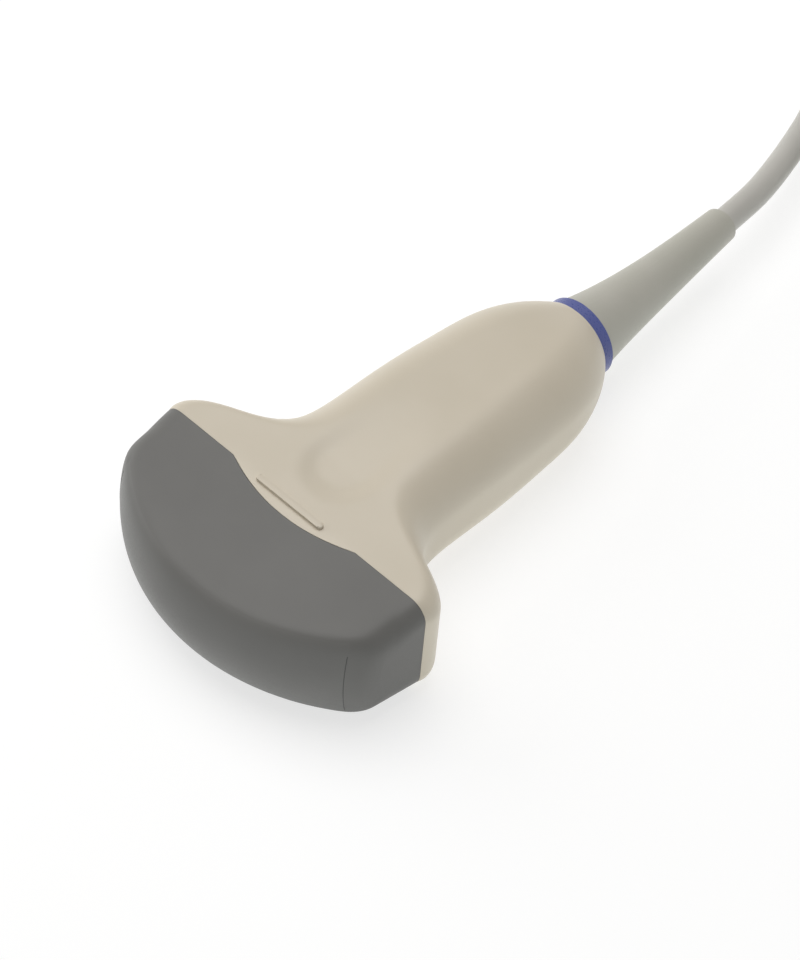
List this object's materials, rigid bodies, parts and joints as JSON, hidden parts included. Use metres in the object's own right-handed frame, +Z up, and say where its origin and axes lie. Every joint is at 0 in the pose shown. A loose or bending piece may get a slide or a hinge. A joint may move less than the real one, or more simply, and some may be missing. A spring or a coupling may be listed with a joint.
{
  "type": "ultrasound transducer probe",
  "caption": "Hand-held convex ultrasound probe with a curved lens, waisted handle, blue ring, tapered boot, coiled cable and a plug with a turning lock lever.",
  "frame": {"origin": "on the table, under the middle of the probe from the lens to the end of its boot", "axes": "+Y from the lens back along the handle, +X across the head, +Z up from the table"},
  "size_m": [0.0894, 0.4108, 0.0513],
  "materials": {
    "lens_silicone": "soft satin grey silicone",
    "nose_plastic": "fine satin grey moulding",
    "matching_epoxy": "lapped filled epoxy",
    "piezo_ceramic": "lapped ceramic",
    "backing_rubber": "cast filled rubber",
    "flex_film": "amber film",
    "board_laminate": "green solder mask",
    "inner_plastic": "black moulding",
    "coax_wires": "bundled fine wires",
    "clamp_brass": "turned",
    "shell_plastic": "fine spark-eroded satin beige",
    "ring_plastic": "smooth blue",
    "boot_rubber": "satin beige-grey elastomer",
    "cable_jacket": "satin light grey jacket",
    "tie_fabric": "woven hook-and-loop",
    "hood_plastic": "fine satin beige",
    "plug_metal": "die-cast, plated",
    "block_plastic": "black moulding",
    "steel": "turned",
    "lever_plastic": "satin grey moulding"
  },
  "bodies": {
    "root": {"acoustic_lens": "lens_silicone", "nosepiece": "nose_plastic", "matching_layer": "matching_epoxy", "piezo_array": "piezo_ceramic", "backing_block": "backing_rubber", "flex_circuit_upper": "flex_film", "flex_circuit_lower": "flex_film", "board_upper": "board_laminate", "board_lower": "board_laminate", "board_carrier": "inner_plastic", "coax_bundle": "coax_wires", "cable_clamp": "clamp_brass", "upper_shell": "shell_plastic", "lower_shell": "shell_plastic", "id_ring": "ring_plastic", "strain_relief": "boot_rubber", "cable": "cable_jacket", "cable_coil": "cable_jacket", "coil_tie": "tie_fabric", "cable_tail": "cable_jacket", "connector_boot": "boot_rubber", "connector_clamp": "clamp_brass", "coax_tail": "coax_wires", "connector_hood": "hood_plastic", "plug_shell": "plug_metal", "contact_block": "block_plastic", "connector_board": "board_laminate", "hood_screws": "steel"},
    "lock": {"lock_shaft": "steel", "retaining_clip": "steel", "lock_lever": "lever_plastic"}
  },
  "joints": [
    {"name": "lock_turn", "type": "hinge", "parent": "root", "child": "lock", "pos_m": [-0.004, 0.292, 0.043], "axis": [0, 0, 1], "range_deg": [0, 90]}
  ]
}
